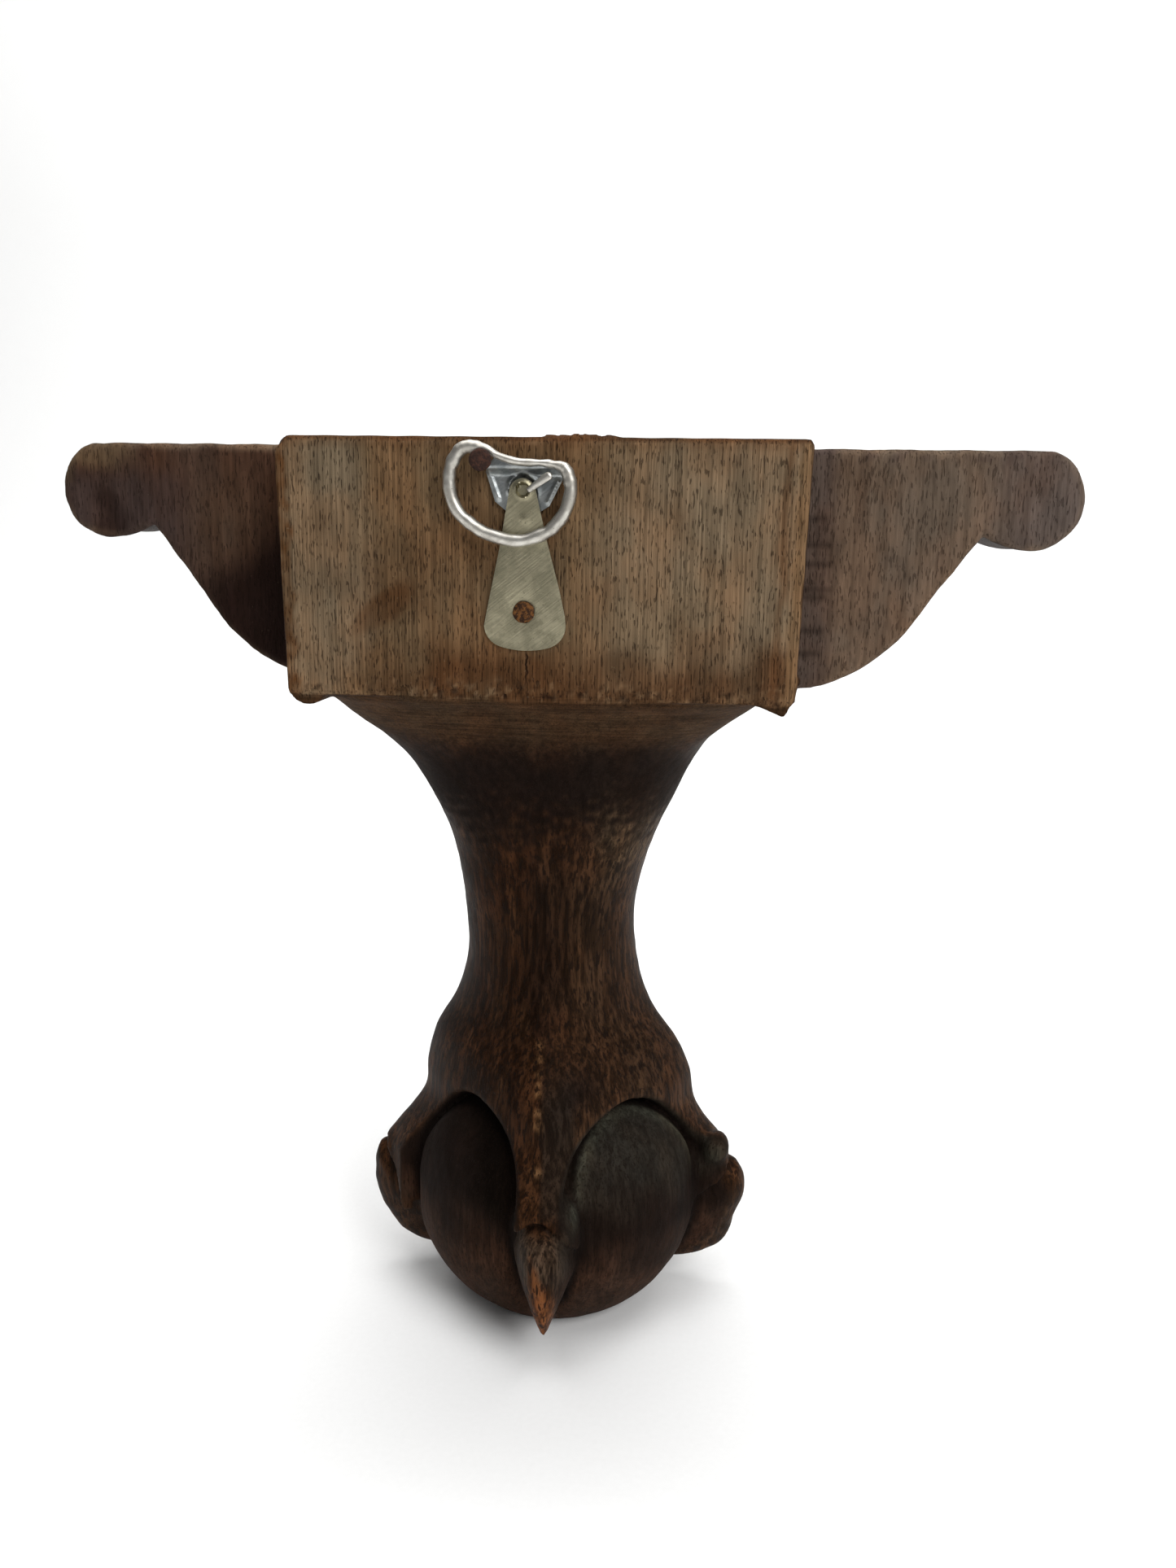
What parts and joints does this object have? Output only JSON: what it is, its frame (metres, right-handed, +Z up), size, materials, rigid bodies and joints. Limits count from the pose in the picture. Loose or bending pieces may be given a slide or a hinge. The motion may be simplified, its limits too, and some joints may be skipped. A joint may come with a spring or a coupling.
{
  "type": "ball-and-claw furniture leg",
  "caption": "Short carved ball-and-claw furniture leg with a scrolled bracket on each side and a drinks-can ring tab nailed to its flat back as a hanger.",
  "frame": {"origin": "centre of the flat under the ball of the foot, on the floor", "axes": "+Z up through the leg to the top of the knee block, +Y out of the flat back with the hanger, -Y the carved front, +X towards the leg's own left bracket"},
  "size_m": [0.207, 0.0973, 0.203],
  "materials": {
    "leg_wood": "old dark mahogany, raw and sawn on the back of the block, dark polish on the carving",
    "left_bracket_wood": "dark reddish-brown sawn wood, paler along its worn edges",
    "right_bracket_wood": "grey-brown sawn wood with open pores",
    "dowel_wood": "plain pale hardwood",
    "strip_aluminium": "satin, brushed on the slant, slightly yellowed",
    "ring_aluminium": "bright, dented and scuffed",
    "rusty_nail": "matt dark rust",
    "coppery_nail": "coppery brown rust, rubbed"
  },
  "bodies": {
    "leg": {"carved_leg": "leg_wood", "left_bracket": "left_bracket_wood", "right_bracket": "right_bracket_wood", "left_bracket_upper_dowel": "dowel_wood", "left_bracket_lower_dowel": "dowel_wood", "right_bracket_upper_dowel": "dowel_wood", "right_bracket_lower_dowel": "dowel_wood", "seat_dowel": "dowel_wood", "tear_strip": "strip_aluminium", "upper_nail": "rusty_nail", "lower_nail": "coppery_nail"},
    "ring": {"pull_ring": "ring_aluminium"}
  },
  "joints": [
    {"name": "ring_swivel", "type": "hinge", "parent": "leg", "child": "ring", "pos_m": [0.0033, 0.0468, 0.1932], "axis": [0, -1, 0], "range_deg": [0, 60]}
  ]
}
